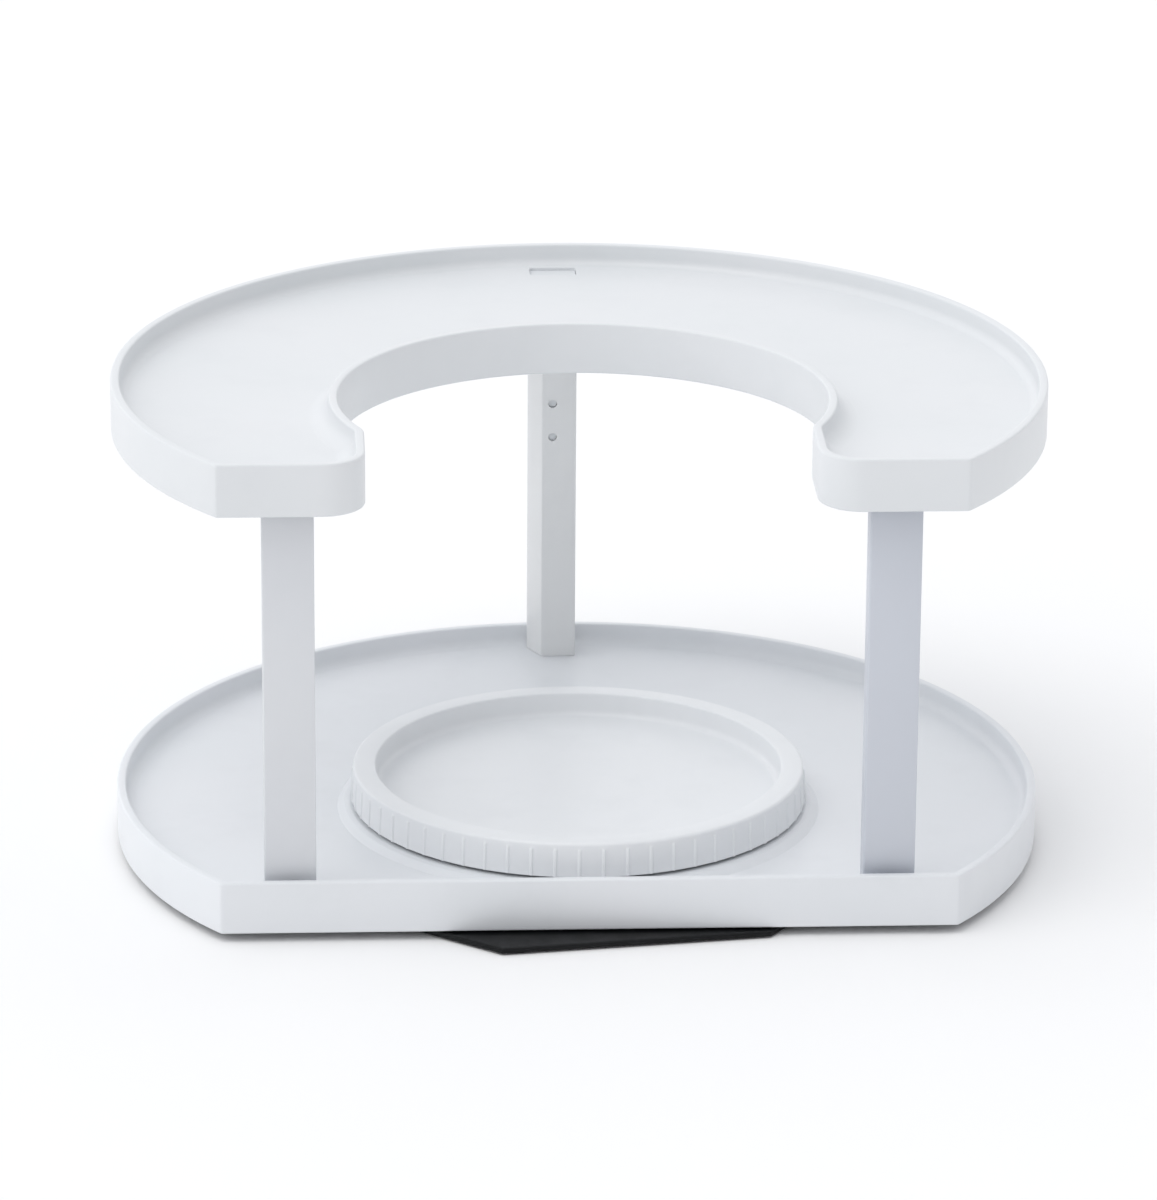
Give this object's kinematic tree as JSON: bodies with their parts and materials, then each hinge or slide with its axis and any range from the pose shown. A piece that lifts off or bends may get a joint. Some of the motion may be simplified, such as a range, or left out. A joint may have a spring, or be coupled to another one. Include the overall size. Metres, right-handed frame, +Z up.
{
  "type": "two-tier rotating kitchen organiser",
  "caption": "White plastic rotating organiser: a D-shaped lower tray with its own ribbed turntable dish, flat posts and a C-shaped upper shelf, on a black base.",
  "frame": {"origin": "on the rack's rotation axis, at the surface that the rubber feet stand on", "axes": "+Z up along both rotation axes, +X to the right seen from the open front, -Y towards the straight-cut front"},
  "size_m": [0.36, 0.3102, 0.1888],
  "materials": {
    "white_abs": "satin moulded white plastic",
    "white_post": "satin moulded white plastic, drawn along its length",
    "white_dish": "satin moulded white plastic",
    "white_clip": "satin moulded white plastic",
    "black_abs": "semi-gloss moulded black plastic",
    "rubber": "matt grey-black rubber",
    "nylon": "natural nylon",
    "zinc_steel": "zinc-plated pressed steel",
    "zinc_screw": "zinc-plated steel screws",
    "ball_steel": "polished bearing steel"
  },
  "bodies": {
    "base": {"base_plate": "black_abs", "base_feet": "rubber", "base_grip_ring": "rubber", "base_race": "zinc_steel", "base_race_screws": "zinc_screw"},
    "rack_cage": {"rack_ball_cage": "nylon", "rack_balls": "ball_steel"},
    "rack": {"rack_race": "zinc_steel", "rack_race_screws": "zinc_screw", "lower_tray": "white_abs", "left_post": "white_post", "right_post": "white_post", "back_post": "white_post", "post_screws": "zinc_screw", "left_post_key": "white_clip", "right_post_key": "white_clip", "back_post_key": "white_clip", "upper_shelf": "white_abs"},
    "dish_cage": {"dish_ball_cage": "nylon", "dish_balls": "ball_steel"},
    "dish": {"dish": "white_dish", "dish_washer": "zinc_steel", "dish_screw": "zinc_screw"}
  },
  "joints": [
    {"name": "rack_spin", "type": "hinge", "parent": "base", "child": "rack", "pos_m": [0, 0, 0.006], "axis": [0, 0, 1], "continuous": true},
    {"name": "rack_cage_spin", "type": "hinge", "parent": "base", "child": "rack_cage", "pos_m": [0, 0, 0.00785], "axis": [0, 0, 1], "continuous": true},
    {"name": "dish_spin", "type": "hinge", "parent": "rack", "child": "dish", "pos_m": [0, -0.0121, 0.01835], "axis": [0, 0, 1], "continuous": true},
    {"name": "dish_cage_spin", "type": "hinge", "parent": "rack", "child": "dish_cage", "pos_m": [0, -0.0121, 0.01835], "axis": [0, 0, 1], "continuous": true}
  ],
  "couplings": [
    {"joint": "rack_cage_spin", "follows": "rack_spin", "ratio": 0.5},
    {"joint": "dish_cage_spin", "follows": "dish_spin", "ratio": 0.5}
  ]
}
